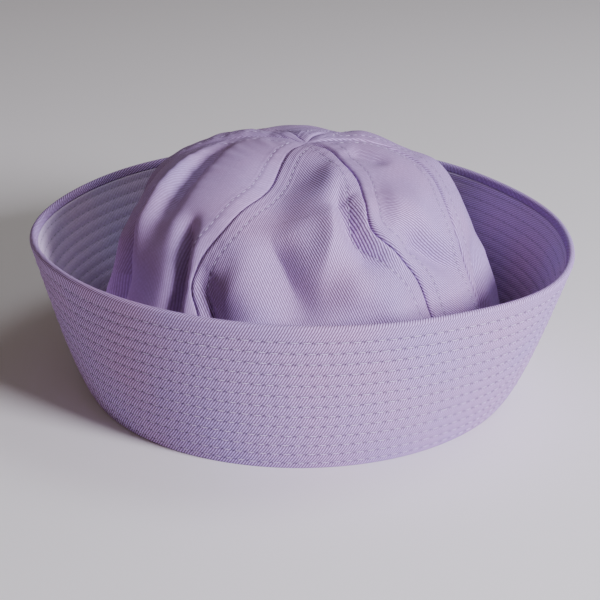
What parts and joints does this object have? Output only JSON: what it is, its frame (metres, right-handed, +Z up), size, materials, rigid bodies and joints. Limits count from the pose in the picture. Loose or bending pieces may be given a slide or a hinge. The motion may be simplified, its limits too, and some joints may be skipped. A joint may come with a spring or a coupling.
{
  "type": "sailor cap",
  "caption": "Soft twill sailor cap with a domed gored crown and a turned-up flared brim, standing on its lower edge.",
  "frame": {"origin": "centre of the bounding box on the ground under the lower edge of the cap", "axes": "+Z up from the lower edge to the top of the crown, +X to the cap's right as the picture shows it, -Y to its front"},
  "size_m": [0.2338, 0.224, 0.1052],
  "materials": {
    "twill": "lavender cotton twill, matt",
    "inner_twill": "the same cotton twill seen in shade, matt"
  },
  "bodies": {
    "root": {"brim_outer": "twill", "brim_inner": "inner_twill", "gore_front": "twill", "gore_front_right": "twill", "gore_back_right": "twill", "gore_back": "twill", "gore_back_left": "twill", "gore_front_left": "twill"}
  },
  "joints": []
}
